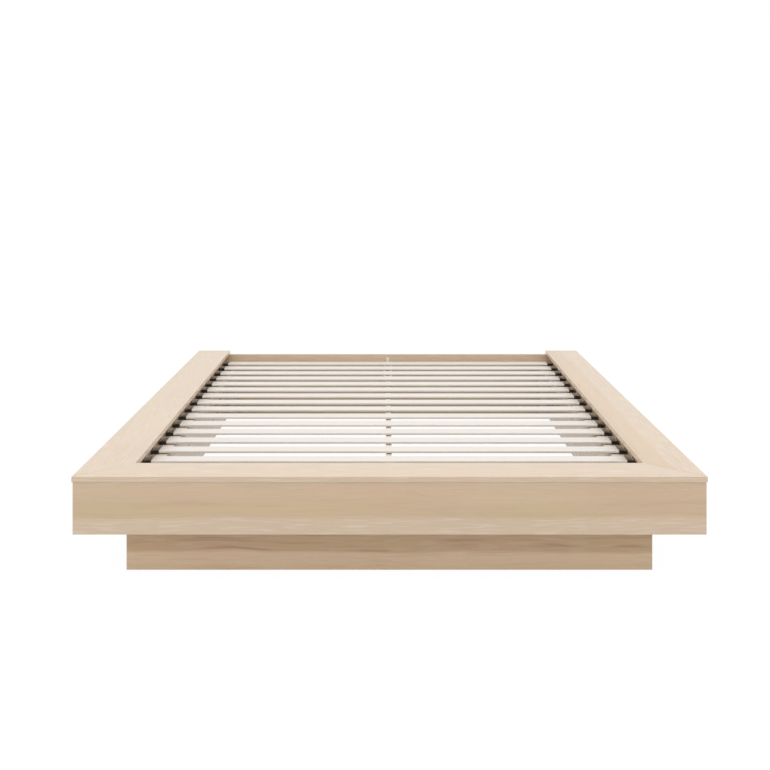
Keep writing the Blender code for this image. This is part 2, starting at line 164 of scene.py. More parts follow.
class StageSettings(bpy.types.PropertyGroup):
    """The floor, lamps and camera."""

    floor: length("Floor", "Side of the square floor", 16.0)
    sky: number("Sky", "Brightness of the light from all round", 0.93, min=0)
    overhead: number("Overhead lamp", "Power of the large lamp above", 86, min=0, unit="POWER")
    front: number("Front lamp", "Power of the large lamp in front", 12, min=0, unit="POWER")
    shadow: share("Floor shadow", "How much of its shadow the white floor shows", 0.06)
    lens: number("Lens", "Focal length in millimetres", 52.08, min=1, unit="CAMERA")
    rise: number("Rise", "Shift of the lens, as a share of the picture's width", -0.2835)
    station: bpy.props.FloatVectorProperty(
        name="Camera place",
        description="Where the camera stands",
        default=(-0.0131, -4.280, 1.199),
        size=3,
        subtype="TRANSLATION",
        unit="LENGTH",
    )


def add_node(tree, kind, sockets=(), **fields):
    """Adds a shader node. sockets holds the values and links of its inputs."""
    node = tree.nodes.new("ShaderNode" + kind)
    for field, value in fields.items():
        setattr(node, field, value)
    for socket, value in dict(sockets).items():
        if isinstance(value, bpy.types.NodeSocket):
            tree.links.new(value, node.inputs[socket])
        else:
            node.inputs[socket].default_value = value
    return node


def new_finish(name):
    """The material of that name, made or emptied, with its node tree."""
    material = bpy.data.materials.get(name) or bpy.data.materials.new(name)
    material.use_nodes = True
    material.node_tree.nodes.clear()
    return material, material.node_tree


def close_finish(material, sockets):
    """Adds a material's shader, with these values and links, and its output."""
    tree = material.node_tree
    shader = add_node(tree, "BsdfPrincipled", sockets)
    add_node(tree, "OutputMaterial", {"Surface": shader.outputs["BSDF"]})
    return material


def grain_place(tree):
    """The place on a piece's grain map."""
    return add_node(tree, "UVMap", uv_map=GRAIN_MAP).outputs["UV"]


def solid_place(tree):
    """The place in the piece's own space."""
    return add_node(tree, "TexCoord").outputs["Object"]


def moved(tree, operation, place, other):
    """A place after this operation with another vector."""
    node = add_node(tree, "VectorMath", {0: place, 1: other}, operation=operation)
    return node.outputs["Vector"]


def computed(tree, operation, *values, **fields):
    """What this operation makes of these values."""
    node = add_node(tree, "Math", dict(enumerate(values)), operation=operation, **fields)
    return node.outputs["Value"]


def summed(tree, start, parts, amounts):
    """A value: start plus each named part times its amount, with the part's middle at 0."""
    total = start - sum(amounts.values()) / 2
    for name, amount in amounts.items():
        total = computed(tree, "MULTIPLY_ADD", parts[name], amount, total)
    return total


def layers_of_noise(tree, place, layers):
    """A flat noise for each layer, from its size along and across the grain and its detail."""
    made = {}
    for name, (along, across, detail) in layers.items():
        scaled = moved(tree, "MULTIPLY", place, (1 / along, 1 / across, 1))
        sockets = {"Vector": scaled, "Scale": 1, "Detail": detail, "Roughness": 0.55}
        noise = add_node(tree, "TexNoise", sockets, noise_dimensions="2D")
        made[name] = noise.outputs["Fac"]
    return made


def lumps_of_noise(tree, place, lumps):
    """A noise in space for each kind of lump, from the lump's size and its detail."""
    made = {}
    for name, (size, detail) in lumps.items():
        sockets = {"Vector": place, "Scale": 1 / size, "Detail": detail}
        made[name] = add_node(tree, "TexNoise", sockets).outputs["Fac"]
    return made


def ramp(tree, place, stops):
    """The colour at a place from 0 to 1, between the stops' colours."""
    node = add_node(tree, "ValToRGB", {"Fac": place})
    elements = node.color_ramp.elements
    for index, (spot, colour) in enumerate(stops):
        element = elements[index] if index < len(elements) else elements.new(spot)
        element.position = spot
        element.color = (*colour, 1)
    return node.outputs["Color"]


# A Mix node's sockets for two colours and for the colour it makes
MIX_FIRST, MIX_SECOND, MIX_RESULT = 6, 7, 2


def blended(tree, weight, first, second):
    """A colour between two others, the second at a weight of 1."""
    sockets = {"Factor": weight, MIX_FIRST: first, MIX_SECOND: second}
    return add_node(tree, "Mix", sockets, data_type="RGBA").outputs[MIX_RESULT]


def toned(tree, colour, brightness, hue=0.5):
    """A colour times this brightness, and turned where the hue isn't 0.5."""
    sockets = {"Hue": hue, "Value": brightness, "Color": colour}
    return add_node(tree, "HueSaturation", sockets).outputs["Color"]


def bumped(tree, height, strength, distance, **fields):
    """The surface's direction with bumps of this height map."""
    sockets = {"Height": height, "Strength": strength, "Distance": distance}
    return add_node(tree, "Bump", sockets, **fields).outputs["Normal"]


# How far the oak print's zones and lines wander, and the noise that they follow: its size
# along and across the grain, and its detail
OAK_WANDER = 0.020
OAK_WANDER_SIZE = (0.42, 0.15, 2)
# Sizes of the print's parts along and across the grain, and their noise's detail. Pores are
# 0.3 mm wide on real oak, and drawn 1.2 mm wide so that they show.
OAK_LAYERS = {
    "cloud": (0.45, 0.040, 1),
    "streak": (0.20, 0.0060, 2),
    "lens": (0.26, 0.013, 1),
    "fleck": (0.09, 0.0045, 0),
    "fibre": (0.08, 0.0008, 1),
    "pore": (0.018, 0.0012, 0),
}
# Where a mark starts to show in its noise, and where it shows in full
OAK_MARKS = {"lens": (0.57, 0.72), "fleck": (0.62, 0.66), "pore": (0.58, 0.72)}
# How much brighter each part makes the print
OAK_TONES = {"cloud": 0.08, "streak": 0.05, "fibre": 0.025, "line": -0.03, "pore": -0.02}
# How strongly each zone of the print shows its dark lenses and its pale flecks
OAK_FIGURE = {
    "light": (0, 0.20),
    "middle": (0.04, 0.05),
    "dark": (0.12, 0),
    "warm": (0.12, 0.18),
    "deep": (0.50, 0.12),
}
# Growth lines: their spacing, and the size and height in lines of the waves that bend them
# into tall arches. Each line darkens slowly to its late side and ends sharply there.
OAK_LINE = 0.011
OAK_ARCH_SIZE = (0.85, 0.085, 1)
OAK_ARCH_LINES = 11
OAK_LINE_STOPS = ((0, 0), (0.45, 0.15), (0.86, 1), (1, 0))
# The print's zones across the grain: their edges in millimetres, and how wide the print is. The
# warm and deep zones, which show only on the front plinth, hold painted light low down and
# painted shade high up as well as the print's tones.
OAK_PRINT_WIDTH = 480
OAK_ZONES_WITH_PAINTED_LIGHT_AND_SHADE = (
    (0, "light"),
    (42, "light"),
    (54, "dark"),
    (90, "dark"),
    (104, "middle"),
    (142, "middle"),
    (156, "light"),
    (314, "light"),
    (334, "warm"),
    (386, "warm"),
    (395, "deep"),
    (448, "deep"),
    (474, "light"),
)
OAK_EDGE_ZONES = ((0, "light"), (OAK_PRINT_WIDTH, "light"))


def oak_surface(name, boards, zones):
    """Oak print with these zones. It reads the grain map, with U along the grain."""
    material, tree = new_finish(name)
    place = grain_place(tree)
    bends = layers_of_noise(tree, place, {"wander": OAK_WANDER_SIZE, "arch": OAK_ARCH_SIZE})
    wander = summed(tree, 0, bends, {"wander": OAK_WANDER})
    shift = add_node(tree, "CombineXYZ", {"Y": wander}).outputs["Vector"]
    bent = moved(tree, "ADD", place, shift)
    parts = layers_of_noise(tree, bent, OAK_LAYERS)
    across = add_node(tree, "SeparateXYZ", {"Vector": bent}).outputs["Y"]

    prints = computed(tree, "MULTIPLY", across, MILLIMETRES / OAK_PRINT_WIDTH)
    print_place = computed(tree, "FRACT", prints)
    edges = [(edge / OAK_PRINT_WIDTH, zone) for edge, zone in zones]
    colour = ramp(tree, print_place, [(spot, getattr(boards, zone)) for spot, zone in edges])
    figure = ramp(tree, print_place, [(spot, (*OAK_FIGURE[zone], 0)) for spot, zone in edges])
    strengths = add_node(tree, "SeparateColor", {"Color": figure}).outputs

    for mark, (start, full) in OAK_MARKS.items():
        sockets = {"Value": parts[mark], "From Min": start, "From Max": full}
        parts[mark] = add_node(tree, "MapRange", sockets).outputs["Result"]
    for mark, channel in (("lens", "Red"), ("fleck", "Green")):
        weight = computed(tree, "MULTIPLY", parts[mark], strengths[channel])
        colour = blended(tree, weight, colour, (*getattr(boards, mark), 1))

    arches = computed(tree, "MULTIPLY", bends["arch"], OAK_ARCH_LINES)
    lines = computed(tree, "MULTIPLY_ADD", across, 1 / OAK_LINE, arches)
    line_place = computed(tree, "FRACT", lines)
    line_stops = [(spot, (dark, dark, dark)) for spot, dark in OAK_LINE_STOPS]
    parts["line"] = ramp(tree, line_place, line_stops)

    brightness = summed(tree, 1, parts, OAK_TONES)
    hue = summed(tree, 0.5, bends, {"wander": 0.02})
    sockets = {
        "Base Color": toned(tree, colour, brightness, hue),
        "Roughness": summed(tree, boards.gloss, parts, {"cloud": 0.04}),
        "IOR": 1.6,
        "Normal": bumped(tree, parts["pore"], strength=0.1, distance=0.00003, invert=True),
    }
    return close_finish(material, sockets)


def oak_melamine(boards):
    """Light oak melamine, paper printed and pressed on with a fine texture. It gives broad soft
    zones, dark lenses and pale flecks along the board, and a low sheen that pales the top seen
    from low down. On the front plinth two of its zones are painted lighter low down and darker
    high up, as painted light and painted shade."""
    return oak_surface("light_oak_melamine_pressed", boards, OAK_ZONES_WITH_PAINTED_LIGHT_AND_SHADE)


def oak_edge_band(boards):
    """Oak edge band, printed plastic strip glued on and rounded over. It gives an edge of the
    print's light tone, with its streaks running along the edge."""
    return oak_surface("light_oak_edge_band_rounded", boards, OAK_EDGE_ZONES)


# The size of a wood chip
CHIP_SIZE = 0.003


def particle_board(boards):
    """Particle board, sawn and left bare where no edge shows. It gives a rough brown edge with
    wood chips of 3 mm, some pale and some dark."""
    material, tree = new_finish("particle_board_sawn")
    cells = add_node(tree, "TexVoronoi", {"Vector": solid_place(tree), "Scale": 1 / CHIP_SIZE})
    tones = add_node(tree, "SeparateColor", {"Color": cells.outputs["Color"]})
    parts = {"chip": tones.outputs["Red"]}
    brightness = summed(tree, 1, parts, {"chip": 0.5})
    sockets = {
        "Base Color": toned(tree, (*boards.core, 1), brightness),
        "Roughness": 0.85,
        "Normal": bumped(tree, parts["chip"], strength=0.5, distance=0.0004),
    }
    return close_finish(material, sockets)


# A Wave node's rings are 0.314 units apart at a scale of 1
WAVE_SPACING = math.tau / 20
# From the rings' centre to the bed's middle, across the grain, and how slowly the figure
# changes along the grain, as a share of its change across it
PINE_HEART = (0.085, 0.120)
PINE_STRETCH = 0.03
# How the rings wave, how sharply they darken, and the fibres' and uneven seasons' sizes and
# detail
PINE_WAVES = {"Distortion": 16, "Detail": 2, "Detail Scale": 0.2}
PINE_CONTRAST = 2.5
PINE_LUMPS = {"fibre": (0.0012, 2), "season": (0.007, 1)}
PINE_NAMES = {Y_AXIS: "pine_planed_lengthways", Z_AXIS: "pine_planed_upright"}


def planed_pine(pine, grain):
    """Pine, planed and left bare. It gives growth rings that run as lines along the grain and
    show as arcs on a sawn end, with a dull surface."""
    material, tree = new_finish(PINE_NAMES[grain])
    stretch = [1, 1, 1]
    stretch[grain] = PINE_STRETCH
    heart = [PINE_HEART[0], PINE_HEART[1], PINE_HEART[1]]
    heart[grain] = 0
    stretched = moved(tree, "MULTIPLY", solid_place(tree), stretch)
    place = moved(tree, "ADD", stretched, heart)
    rings = add_node(
        tree,
        "TexWave",
        {"Vector": place, "Scale": WAVE_SPACING / pine.ring, **PINE_WAVES},
        wave_type="RINGS",
        rings_direction="XYZ"[grain],
        wave_profile="SAW",
    ).outputs["Fac"]
    parts = lumps_of_noise(tree, place, PINE_LUMPS)
    dense = computed(tree, "POWER", rings, PINE_CONTRAST)
    late = computed(tree, "MULTIPLY", dense, parts["season"])
    colour = blended(tree, late, (*pine.early, 1), (*pine.late, 1))
    brightness = summed(tree, 1, parts, {"fibre": 0.12})
    sockets = {
        "Base Color": toned(tree, colour, brightness),
        "Roughness": 0.6,
        "Normal": bumped(tree, late, strength=0.2, distance=0.0001),
    }
    return close_finish(material, sockets)


# Sizes of the birch's tone, streaks and fibres along and across the grain, and their detail
BIRCH_LAYERS = {
    "cloud": (0.45, 0.018, 1),
    "streak": (0.20, 0.0035, 2),
    "fibre": (0.05, 0.0009, 1),
}
BIRCH_TONES = {"cloud": 0.10, "streak": 0.06, "fibre": 0.04}
# Where a glue line ends and the next one starts, as shares of a layer
GLUE_END, GLUE_START = 0.12, 0.94


def sanded_birch(slats):
    """Birch veneer, sanded smooth and sealed. It gives pale, nearly even faces with faint
    lines along the slat, and a sheen that whitens them seen from low down."""
    material, tree = new_finish("birch_veneer_sanded")
    parts = layers_of_noise(tree, grain_place(tree), BIRCH_LAYERS)
    brightness = summed(tree, 1, parts, BIRCH_TONES)
    sockets = {
        "Base Color": toned(tree, (*slats.face, 1), brightness),
        "Roughness": summed(tree, 0.32, parts, {"streak": 0.06}),
        "Normal": bumped(tree, parts["fibre"], strength=0.2, distance=0.00005),
    }
    return close_finish(material, sockets)


def layered_birch_with_painted_light(slats):
    """The slats' rounded edges, birch layers glued and shaped. It gives thin brown glue lines
    between the layers; a real line of 0.1 mm is drawn 0.3 mm thick so that it shows. The layers
    are painted paler than the face, as painted light from below."""
    material, tree = new_finish("birch_layers_shaped")
    place = grain_place(tree)
    parts = layers_of_noise(tree, place, BIRCH_LAYERS)
    across = add_node(tree, "SeparateXYZ", {"Vector": place}).outputs["Y"]
    layers = computed(tree, "MULTIPLY", across, 1 / slats.veneer)
    layer_place = computed(tree, "FRACT", layers)
    stops = [(0, slats.glue), (GLUE_END, slats.side), (GLUE_START, slats.side), (1, slats.glue)]
    colour = ramp(tree, layer_place, stops)
    brightness = summed(tree, 1, parts, {"streak": 0.10})
    tone = toned(tree, colour, brightness)
    return close_finish(material, {"Base Color": tone, "Roughness": 0.45})


# Sizes of the moulded skin's grain and of its duller patches, and their detail
PLASTIC_LUMPS = {"skin": (0.0006, 1), "patch": (0.012, 2)}


def moulded_plastic(holders):
    """Black polypropylene, injection moulded with a fine spark-eroded skin. It gives a deep
    black body whose rounded top turns grey where it mirrors the studio at a low angle."""
    material, tree = new_finish("black_polypropylene_moulded")
    parts = lumps_of_noise(tree, solid_place(tree), PLASTIC_LUMPS)
    sockets = {
        "Base Color": (*holders.plastic, 1),
        "Roughness": summed(tree, 0.24, parts, {"patch": 0.12, "skin": 0.04}),
        "IOR": 1.49,
        "Sheen Weight": holders.sheen,
        "Sheen Roughness": 0.4,
        "Sheen Tint": (*linear(0xFFF0E0), 1),
        "Normal": bumped(tree, parts["skin"], strength=0.25, distance=0.00006),
    }
    return close_finish(material, sockets)


# The size of the plating's duller patches, and their detail
ZINC_LUMPS = {"patch": (0.004, 3)}


def zinc_plate(fittings):
    """Steel, pressed or turned and zinc plated. It gives a pale warm metal with a soft, slightly
    uneven shine."""
    material, tree = new_finish("steel_zinc_plated")
    parts = lumps_of_noise(tree, solid_place(tree), ZINC_LUMPS)
    brightness = summed(tree, 1, parts, {"patch": 0.12})
    sockets = {
        "Base Color": toned(tree, (*fittings.zinc, 1), brightness),
        "Metallic": 1.0,
        "Roughness": summed(tree, 0.36, parts, {"patch": 0.2}),
    }
    return close_finish(material, sockets)


def new_object(name, data):
    """An object in the scene, in place of an earlier one of that name."""
    old = bpy.data.objects.get(name)
    if old:
        bpy.data.objects.remove(old)
    made = bpy.data.objects.new(name, data)
    bpy.context.scene.collection.objects.link(made)
    return made


def place_piece(name, mesh, slot, *nodes):
    """Shows a mesh as a piece that rides on the bed and stands for these nodes."""
    piece = new_object(name, mesh)
    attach(piece, BODY)
    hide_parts(*nodes)


def lay_grain(mesh, grain, corner, start):
    """Gives each face its place on the print: U along the grain and V across it, counted from
    the corner, which lies at start. On a cut end U runs along the end's longer side, as its
    edge band does."""
    spans = [max(way) - min(way) for way in zip(*(vertex.co for vertex in mesh.vertices))]
    layer = mesh.uv_layers.new(name=GRAIN_MAP)
    for face in mesh.polygons:
        facing = max(range(3), key=lambda axis: abs(face.normal[axis]))
        flat = [axis for axis in range(3) if axis != facing]
        along = grain if grain in flat else max(flat, key=lambda axis: spans[axis])
        across = flat[0] if flat[1] == along else flat[1]
        for loop in face.loop_indices:
            spot = mesh.vertices[mesh.loops[loop].vertex_index].co
            v = abs(spot[across] - corner[across])
            layer.uv[loop].vector = (spot[along] - corner[along] + start[0], v + start[1])


# The cosine of the turn beyond which two faces meet at a sharp edge, and beyond which a face
# of a board or slat is one of its narrow ones
SHARP_COSINE = math.cos(math.radians(30))
# A smooth mesh keeps the edges that turn by more than this
SMOOTH_ANGLE = math.radians(35)


def skinned(rings):
    """A shape that skins these rings of points in order, with the first and the last closed."""
    shape = bmesh.new()
    loops = [[shape.verts.new(point) for point in ring] for ring in rings]
    shape.faces.new(loops[0])
    shape.faces.new(loops[-1])
    for low, high in zip(loops, loops[1:]):
        for index in range(len(low)):
            after = (index + 1) % len(low)
            shape.faces.new((low[index], low[after], high[after], high[index]))
    return shape


def is_sharp(edge):
    """Whether a shape turns sharply at this edge."""
    first, second = (face.normal for face in edge.link_faces)
    return first.dot(second) < SHARP_COSINE


def round_edges(shape, edges, radius, steps):
    """Rounds these edges of a shape, in so many steps."""
    bmesh.ops.bevel(
        shape,
        geom=edges,
        offset=radius,
        offset_type="OFFSET",
        segments=steps,
        profile=0.5,
        affect="EDGES",
        clamp_overlap=True,
    )


def finish_mesh(shape, name, smooth=False):
    """Turns a shape into a mesh with its faces outward, shaded flat or smooth."""
    bmesh.ops.recalc_face_normals(shape, faces=shape.faces)
    if shape.calc_volume(signed=True) < 0:
        bmesh.ops.reverse_faces(shape, faces=shape.faces)
    mesh = bpy.data.meshes.new(name)
    shape.to_mesh(mesh)
    shape.free()
    if smooth:
        mesh.shade_smooth()
        mesh.set_sharp_from_angle(angle=SMOOTH_ANGLE)
    return mesh


ARRIS_STEPS = 3


def board_mesh(name, outline, thin_axis, low, high, arris, on_mitre=lambda spot: False):
    """A board from its outline, in the two other axes, with rounded edges. An edge whose middle
    lies on a mitre stays sharp. Broad faces get material 0, narrow ones material 1."""
    rings = []
    for level in (low, high):
        ring = [list(point) for point in outline]
        for spot in ring:
            spot.insert(thin_axis, level)
        rings.append(ring)
    shape = skinned(rings)
    bmesh.ops.recalc_face_normals(shape, faces=shape.faces)
    edges = [
        edge
        for edge in shape.edges
        if is_sharp(edge) and not on_mitre((edge.verts[0].co + edge.verts[1].co) / 2)
    ]
    round_edges(shape, edges, arris, ARRIS_STEPS)
    for face in shape.faces:
        face.material_index = int(abs(face.normal[thin_axis]) < SHARP_COSINE)
    return finish_mesh(shape, name)


def plank_mesh(name, node, arris):
    """A node's box as a board with rounded edges, whose thinnest way is its thickness."""
    low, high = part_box(node)
    thin_axis = min(range(3), key=lambda axis: high[axis] - low[axis])
    flat = [axis for axis in range(3) if axis != thin_axis]
    (left, down), (right, up) = ((corner[flat[0]], corner[flat[1]]) for corner in (low, high))
    outline = [(left, down), (right, down), (right, up), (left, up)]
    return board_mesh(name, outline, thin_axis, low[thin_axis], high[thin_axis], arris)


# A solid's mesh has split points, nearer than this, and edges inside its flat faces, where it
# turns by less than this
WELD = 0.00001
FLAT_TURN = math.radians(1)
EASED_STEPS = 2


def eased_mesh(name, node, radius):
    """A node's solid with its sharp outer edges rounded."""
    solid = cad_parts[node]
    shape = bmesh.new()
    shape.from_mesh(solid.data)
    shape.transform(solid.matrix_world)
    bmesh.ops.remove_doubles(shape, verts=shape.verts, dist=WELD)
    bmesh.ops.dissolve_limit(shape, angle_limit=FLAT_TURN, verts=shape.verts, edges=shape.edges)
    edges = [edge for edge in shape.edges if edge.is_convex and is_sharp(edge)]
    round_edges(shape, edges, radius, EASED_STEPS)
    return finish_mesh(shape, name, smooth=True)


# A cross recess: how wide its arms are, as the sine of twice the turn, and how far it reaches
# between them, as a share of its radius
CROSS_ARM, CROSS_WAIST = 0.4, 0.42
# The outlines of heads, shanks, holes and recesses, as shares of the radius for each turn
OUTLINES = {
    "hex": lambda turn: 1 / math.cos((turn + math.pi / 6) % (math.pi / 3) - math.pi / 6),
    "cross": lambda turn: 1.0 if abs(math.sin(2 * turn)) < CROSS_ARM else CROSS_WAIST,
    "round": lambda turn: 1.0,
}
# The screws and bolts, by how their names start: their axis, the radius and length of the head
# and of the shank, and the key that turns them, with its radius
FASTENERS = {
    "bracket_screw": (Y_AXIS, (0.0035, 0.0022), (0.00175, 0.014), ("cross", 0.0018)),
    "beam_bolt": (X_AXIS, (0.007, 0.003), (0.003, 0.028), ("hex", 0.002)),
}
# Which way the screws and bolts of each place point
WAYS = {**SIDES, "foot": -1, "head": 1}
HOLE_PLAY = 0.0003
HOLE_SIDES = 32
# The boards that are drilled, with the screws or bolts that they hold
DRILLED = {
    "plinth_left": "beam_bolt_left",
    "plinth_right": "beam_bolt_right",
    "inner_rail_left": "beam_bolt_left",
    "inner_rail_right": "beam_bolt_right",
    "inner_rail_foot": "bracket_screw_foot",
    "head_rail": "bracket_screw_head",
}


def round_ring(middle, axis, place, radius, sides, outline="round"):
    """A ring of points round an axis, with its centre at place along it."""
    first, second = (other for other in range(3) if other != axis)
    ring = []
    for turn in (math.tau * step / sides for step in range(sides)):
        reach = radius * OUTLINES[outline](turn)
        spot = Vector(middle)
        spot[first] += reach * math.cos(turn)
        spot[second] += reach * math.sin(turn)
        spot[axis] = place
        ring.append(spot)
    return ring


def drill(mesh, fasteners):
    """Cuts the holes of these screws or bolts from a board's mesh. The wall of a hole gets the
    board's last material."""
    axis, _, (shank_radius, _), _ = FASTENERS[fasteners.rpartition("_")[0]]
    radius = shank_radius + HOLE_PLAY
    for node in nodes_named(fasteners):
        low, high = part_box(node)
        middle = (low + high) / 2
        ends = (low[axis] - HOLE_PLAY, high[axis] + HOLE_PLAY)
        shape = skinned([round_ring(middle, axis, end, radius, HOLE_SIDES) for end in ends])
        for face in shape.faces:
            face.material_index = len(mesh.materials) - 1
        cutter = new_object("drill", finish_mesh(shape, "drill"))
        board = new_object("drilled", mesh)
        cut = board.modifiers.new("hole", "BOOLEAN")
        cut.solver = "EXACT"
        cut.object = cutter
        graph = bpy.context.evaluated_depsgraph_get()
        mesh = bpy.data.meshes.new_from_object(board.evaluated_get(graph))
        for helper in (cutter, board):
            bpy.data.objects.remove(helper)
    return mesh


# Each board of the beams and the plinth: the axis its grain runs along, and where its print
# starts, along and across the grain, so that no two boards show the same piece of print
BOARD_PRINTS = {
    "apron_foot": (X_AXIS, 3.10, 0.000),
    "apron_left": (Y_AXIS, 7.40, 0.160),
    "apron_right": (Y_AXIS, 11.90, 0.020),
    "head_rail": (X_AXIS, 15.20, 0.030),
    "inner_rail_foot": (X_AXIS, 19.70, 0.110),
    "inner_rail_left": (Y_AXIS, 23.30, 0.040),
    "inner_rail_right": (Y_AXIS, 27.80, 0.200),
    "beam_spacer_left_1": (X_AXIS, 31.10, 0.150),
    "beam_spacer_left_2": (X_AXIS, 31.60, 0.010),
    "beam_spacer_right_1": (X_AXIS, 32.20, 0.100),
    "beam_spacer_right_2": (X_AXIS, 32.80, 0.240),
    "beam_spacer_foot_1": (Y_AXIS, 33.30, 0.080),
    "beam_spacer_foot_2": (Y_AXIS, 33.90, 0.180),
    # The front plinth's print starts where the warm zone falls low and the deep zone high, so
    # that their painted light and painted shade fall there
    "plinth_foot": (X_AXIS, 36.50, 0.337),
    "plinth_head": (X_AXIS, 40.20, 0.050),
    "plinth_left": (Y_AXIS, 44.60, 0.000),
    "plinth_right": (Y_AXIS, 48.10, 0.002),
}
# The boards whose names start so have bare sawn edges
UNBANDED = ("inner_rail", "beam_spacer")
# The surround's boards, in the same way. The right one's inner edge shows the darker zones.
TOP_PRINTS = {
    "top_panel_left": (Y_AXIS, 52.70, 0.160),
    "top_panel_right": (Y_AXIS, 57.30, 0.074),
    "top_panel_foot": (X_AXIS, 61.90, 0.158),
}


class PLATFORM_BED_OT_surround(bpy.types.Operator):
    """Builds the flat top: three oak boards, mitred at the foot corners"""

    bl_idname = "platform_bed.surround"
    bl_label = "Surround"

    def execute(self, context):
        boards = context.scene.platform_bed_boards
        finishes = oak_melamine(boards), oak_edge_band(boards)
        foot_low, foot_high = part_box("top_panel_foot")
        # The room between two boards at a mitre, measured along Y
        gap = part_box("top_panel_left")[0].y - foot_low.y
        side_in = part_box("top_panel_right")[0].x
        outlines = {
            "top_panel_foot": [
                (foot_low.x, foot_low.y),
                (foot_high.x, foot_low.y),
                (side_in - gap, foot_high.y),
                (gap - side_in, foot_high.y),
            ]
        }
        for word, side in SIDES.items():
            low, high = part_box(f"top_panel_{word}")
            outer, inner = (high.x if side > 0 else low.x), side * side_in
            outlines[f"top_panel_{word}"] = [
                (outer, low.y),
                (outer, high.y),
                (inner, high.y),
                (inner, foot_high.y + gap),
            ]
        # All along a mitre, the way out from the middle and Y add up to this
        mitre_sum = foot_high.y + side_in

        def on_mitre(spot):
            return abs(abs(spot.x) + spot.y - mitre_sum) < 2 * gap + boards.top_arris

        for node, outline in outlines.items():
            low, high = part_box(node)
            grain, *start = TOP_PRINTS[node]
            name = f"oak_{node}"
            mesh = board_mesh(name, outline, Z_AXIS, low.z, high.z, boards.top_arris, on_mitre)
            corner = Vector((math.copysign(side_in, low.x), low.y, low.z))
            lay_grain(mesh, grain, corner, start)
            for finish in finishes:
                mesh.materials.append(finish)
            place_piece(name, mesh, "oak_board", node)
        return {"FINISHED"}


class PLATFORM_BED_OT_boards(bpy.types.Operator):
    """Builds the aprons, head rail, inner rails and spacers, and the plinth's boards"""

    bl_idname = "platform_bed.boards"
    bl_label = "Beams and plinth"

    def execute(self, context):
        boards = context.scene.platform_bed_boards
        print_face, edge_band = oak_melamine(boards), oak_edge_band(boards)
        core = particle_board(boards)
        for node, (grain, *start) in BOARD_PRINTS.items():
            bare = node.startswith(UNBANDED)
            name = f"oak_{node}"
            mesh = plank_mesh(name, node, boards.saw_arris if bare else boards.arris)
            for finish in (print_face, core if bare else edge_band):
                mesh.materials.append(finish)
            if node in DRILLED:
                mesh.materials.append(core)
                mesh = drill(mesh, DRILLED[node])
            lay_grain(mesh, grain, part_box(node)[0], start)
            place_piece(name, mesh, "oak_board", node)
        return {"FINISHED"}


# The pine pieces, by the axis that their grain runs along
PINE_PIECES = {
    Y_AXIS: nodes_named("slat_batten"),
    Z_AXIS: nodes_named("centre_leg") + nodes_named("plinth_block"),
}
# This one keeps its solid, with its notches
NOTCHED_RAIL = "centre_rail"


class PLATFORM_BED_OT_supports(bpy.types.Operator):
    """Builds the pine battens, corner blocks and legs, and gives the centre rail its wood"""

    bl_idname = "platform_bed.supports"
    bl_label = "Pine supports"

    def execute(self, context):
        pine = context.scene.platform_bed_pine
        finishes = {grain: planed_pine(pine, grain) for grain in PINE_PIECES}
        for grain, nodes in PINE_PIECES.items():
            for node in nodes:
                mesh = plank_mesh(f"pine_{node}", node, pine.arris)
                for face in mesh.polygons:
                    face.material_index = 0
                mesh.materials.append(finishes[grain])
                place_piece(f"pine_{node}", mesh, "pine", node)
        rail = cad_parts[NOTCHED_RAIL].data
        rail.materials.clear()
        rail.materials.append(finishes[Y_AXIS])
        return {"FINISHED"}


CORNER_STEPS = 6
# How far along the print each slat starts after the one before, so that all of them differ
SLAT_SHIFT = 2.37
# Room round a slat in its holder
SLAT_PLAY = 0.0003
# A slat's edges are rounded by this share of its thickness at most
SLAT_ROUND_SHARE = 0.45


def rounded_ring(x, half_width, low, high, radii, middle, crown=0.0, top_steps=0):
    """A ring of points at x: a section in Y and Z round middle, with one radius for its lower
    corners and one for its upper ones, whose top may fall towards its sides."""
    low_radius, high_radius = radii
    corners = (
        (1, low + low_radius, low_radius, -90),
        (1, high - high_radius, high_radius, 0),
        (-1, high - high_radius, high_radius, 90),
        (-1, low + low_radius, low_radius, 180),
    )
    points = []
    for index, (side, level, radius, start) in enumerate(corners):
        reach = half_width - radius
        for step in range(CORNER_STEPS + 1):
            turn = math.radians(start + 90 * step / CORNER_STEPS)
            y = side * reach + radius * math.cos(turn)
            points.append((y, level + radius * math.sin(turn)))
        if index == 1:
            for step in range(1, top_steps):
                points.append((reach - 2 * reach * step / top_steps, high))
    half_height = (low + high) / 2
    ring = []
    for y, z in points:
        fall = crown * (y / half_width) ** 2 if z > half_height else 0.0
        ring.append((x, middle + y, z - fall))
    return ring


def holder_ends(strip, holders):
    """How far the mouth and the closed end of a holder lie from the bed's middle. A holder
    stands in the middle of its strip's width."""
    inner, outer = sorted(abs(corner.x) for corner in strip)
    spare = (outer - inner - holders.span) / 2
    return inner + spare, outer - spare


